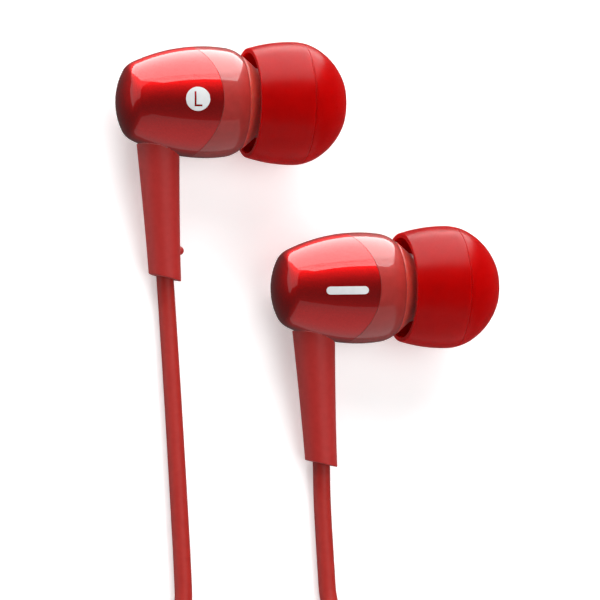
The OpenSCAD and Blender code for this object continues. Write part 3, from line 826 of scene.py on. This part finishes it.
def strap(name, at, y_side, mean_r, layers_wide, height, d):
    """A flat strap round one side of a coil, with its end lapped over its start."""
    inner = mean_r - layers_wide * d / 2 - 0.25
    outer = mean_r + layers_wide * d / 2
    half_y = (outer - inner + TIE_T) / 2
    half_z = (height + TIE_T) / 2
    corner = (d + TIE_T) / 2
    flat = half_y - corner
    stations = [(0.2 * flat, half_z, pi / 2, 0)]
    for sy, sz, turn in ((-1, 1, pi / 2), (-1, -1, pi), (1, -1, 1.5 * pi), (1, 1, 2 * pi)):
        for a in evenly(turn, turn + pi / 2, 9):
            y = sy * flat + corner * cos(a)
            z = sz * (half_z - corner) + corner * sin(a)
            stations.append((y, z, a, 0))
    for share, lift in ((0.85, 0), (0.6, 0.4), (0.35, 1), (-0.8, 1)):
        stations.append((share * flat, half_z, pi / 2, lift))
    w, t, e = TIE_W / 2, TIE_T / 2, TIE_EDGE
    section = [
        (e - w, -t), (w - e, -t), (w, e - t), (w, t - e), (w - e, t), (e - w, t), (-w, t - e),
        (-w, e - t),
    ]
    rings = []
    for y, z, a, lift in stations:
        rise = lift * TIE_T
        rings.append([(x, y + (n + rise) * cos(a), z + (n + rise) * sin(a)) for x, n in section])
    centre = Vector((at[0], at[1] + y_side * (inner + outer) / 2, half_z + TIE_T / 2)) * MM
    return swept_piece(name, rings, Matrix.Translation(centre))


def moulding(name, y_front, length, half_w, half_h, groove_at, round_end=0.7):
    """A slab with half-round sides that runs along -Y. half_w(share) is its half width."""
    ends = [round_end * (1 - cos(a)) for a in evenly(0, pi / 2, 8)]
    stations = ends + evenly(round_end + 0.1, length - round_end - 0.1, 60)
    stations += [length - e for e in reversed(ends)]
    rings = []
    for s in stations:
        near = min(s, length - s, round_end) / round_end
        inset = round_end * (1 - sqrt(max(0, 1 - (1 - near) ** 2)))
        inset += grooves(s, groove_at, GROOVE_DEPTH, GROOVE_HALF_W)
        r = half_h - inset
        ring = []
        for a in evenly(-pi / 2, 1.5 * pi, 65)[:-1]:
            way = 1 if a < pi / 2 else -1
            x = way * (half_w(s / length) - half_h) + r * cos(a)
            ring.append((LANE_X + x, y_front - s, LANE_Z + r * sin(a)))
        rings.append(ring)
    return swept_piece(name, rings, Matrix())


def slider_half_w(_):
    return SLIDER_W / 2


def splitter_half_w(share):
    narrow = max(0, 2 * share - 1)
    return (SPLITTER_W + (SPLITTER_END_W - SPLITTER_W) * narrow) / 2


def boot_column(_):
    """The plug's ribbed relief, which widens from the cord to the grip."""
    outline = [(0, 0), (BOOT_EDGE_R, 0)]
    ribs = [k * BOOT_L / (RIBS + 1) for k in range(1, RIBS + 1)]
    for z in evenly(0.1, BOOT_L, 90):
        r = BOOT_R + BOOT_TAPER * z / BOOT_L
        rib = max(max(0, 1 - ((z - at) / RIB_HALF_W) ** 2) for at in ribs)
        outline.append((r + (RIB_R - r) * sqrt(rib), z))
    return outline + [(0, BOOT_L)]


def grip_column(_):
    outline = [(0, 0)] + bend((2.1, 0), (GRIP_R, 0), (GRIP_R, 1.3), 12)
    for z in evenly(1.5, GRIP_L - 0.5, 80):
        outline.append((GRIP_R - grooves(z, GRIP_GROOVES, GRIP_GROOVE_DEPTH, GROOVE_HALF_W), z))
    end = bend((GRIP_R, GRIP_L - 0.4), (GRIP_R, GRIP_L), (GRIP_R - 0.4, GRIP_L), 8)
    return outline + end + [(0, GRIP_L)]


def plug_place(dy):
    """A place on the plug's axis, from which a lathe's Z points along the plug."""
    along = Vector((PLUG_X, PLUG_Y + dy, PLUG_Z)) * MM
    return Matrix.Translation(along) @ Matrix.Rotation(-pi / 2, 4, "X")


branch_strap = strap(
    "branch_strap", BRANCH_AT, -1, BRANCH_R, BRANCH_TURNS + 1, 2 * branch_stack, CORD_D
)
add(branch_strap, ROOT, "tie", "branch_tie")
main_strap = strap("main_strap", MAIN_AT, 1, MAIN_R, MAIN_TURNS + 1, 4 * MAIN_D, MAIN_D)
add(main_strap, ROOT, "tie", "main_tie")
slider_front = SLIDER_Y + SLIDER_L / 2
slide_bead = moulding(
    "slide_bead", slider_front, SLIDER_L, slider_half_w, SLIDER_H / 2, (2, 3, 4)
)
add(slide_bead, "slider", "relief", "cord_slider")
join_block = moulding(
    "join_block", SPLITTER_Y, SPLITTER_L, splitter_half_w, SPLITTER_H / 2, (8.3, 9.2)
)
add(join_block, ROOT, "relief", "splitter_body")
plug_boot = lathe_piece("plug_boot", boot_column, plug_place(0), segments=96)
add(plug_boot, ROOT, "relief", "plug_relief")
plug_handle = lathe_piece("plug_handle", grip_column, plug_place(BOOT_L), segments=96)
add(plug_handle, ROOT, "relief", "plug_grip")

for name, cord in cords.items():
    route = routes[name]


# --- Floor and lights ---

FLOOR_R = 4.0
bm = bmesh.new()
bmesh.ops.create_circle(bm, cap_ends=True, radius=FLOOR_R, segments=96)
floor_mesh = bpy.data.meshes.new("floor")
bm.to_mesh(floor_mesh)
bm.free()
floor = placed("floor", floor_mesh)
floor_paint = Shader("floor_paint", Roughness=0.9, Specular_IOR_Level=0.1, Emission_Strength=0.42)
floor_paint.out.inputs["Emission Color"].default_value = (1, 1, 1, 1)
floor_paint.colour(floor_paint.noise(3, 2), (0.80, 0.80, 0.80), (0.81, 0.81, 0.81))
floor.data.materials.append(floor_paint.material)


def softbox(name, centre, aim, width, height, radiance):
    """A rectangle of light that faces aim."""
    light = bpy.data.lights.new(name, "AREA")
    light.shape = "RECTANGLE"
    light.size, light.size_y = width, height
    light.energy = radiance * pi * width * height
    obj = placed(name, light)
    facing = (Vector(aim) - Vector(centre)).to_track_quat("-Z", "Y").to_matrix().to_4x4()
    obj.matrix_world = Matrix.Translation(centre) @ facing
    obj.visible_camera = False
    return obj


# The key softbox stands behind the earpieces, and a fill in front. What they light and what shows
# of them in the lacquer are separate lights, because those in the lacquer go on below the table.
key = softbox("key", (0.02, 0.36, 0.29), (0.02, 0, 0.29), 0.63, 0.57, 6.6)
fill = softbox("fill", (0.11, -0.09, 0.33), (0, 0, 0.005), 0.3, 0.3, 3.0)
for light in (key, fill):
    light.visible_glossy = False
for glow in (
    softbox("key_glow", (0.02, 0.36, 0.19), (0.02, 0, 0.19), 0.63, 0.77, 5.0),
    softbox("front_glow", (0.02, -0.36, -0.05), (0.02, 0, -0.05), 0.63, 0.68, 0.42),
    softbox("side_glow", (-0.4, 0.17, 0.1), (-0.02, -0.035, 0.1), 0.43, 0.6, 0.8),
):
    glow.visible_diffuse = False
# no piece shows in another's lacquer
for piece in bpy.context.scene.objects:
    if piece.type in ("MESH", "CURVE"):
        piece.visible_glossy = False

world = bpy.data.worlds.new("studio")
bpy.context.scene.world = world
world.use_nodes = True
tree = world.node_tree
background = tree.nodes["Background"]
background.inputs["Color"].default_value = (1, 1, 1, 1)
coords = tree.nodes.new("ShaderNodeTexCoord")
split = tree.nodes.new("ShaderNodeSeparateXYZ")
fade = tree.nodes.new("ShaderNodeMapRange")
ray = tree.nodes.new("ShaderNodeLightPath")
seen = tree.nodes.new("ShaderNodeMix")
tree.links.new(coords.outputs["Generated"], split.inputs["Vector"])
tree.links.new(split.outputs["Y"], fade.inputs["Value"])
for name, value in (("From Min", -0.9), ("From Max", -0.1), ("To Min", 0.18), ("To Max", 0.08)):
    fade.inputs[name].default_value = value
tree.links.new(ray.outputs["Is Camera Ray"], seen.inputs["Factor"])
tree.links.new(fade.outputs["Result"], seen.inputs["A"])
seen.inputs["B"].default_value = 1.0
tree.links.new(seen.outputs["Result"], background.inputs["Strength"])

bpy.context.scene.view_settings.view_transform = "Standard"

bpy.context.view_layer.update()
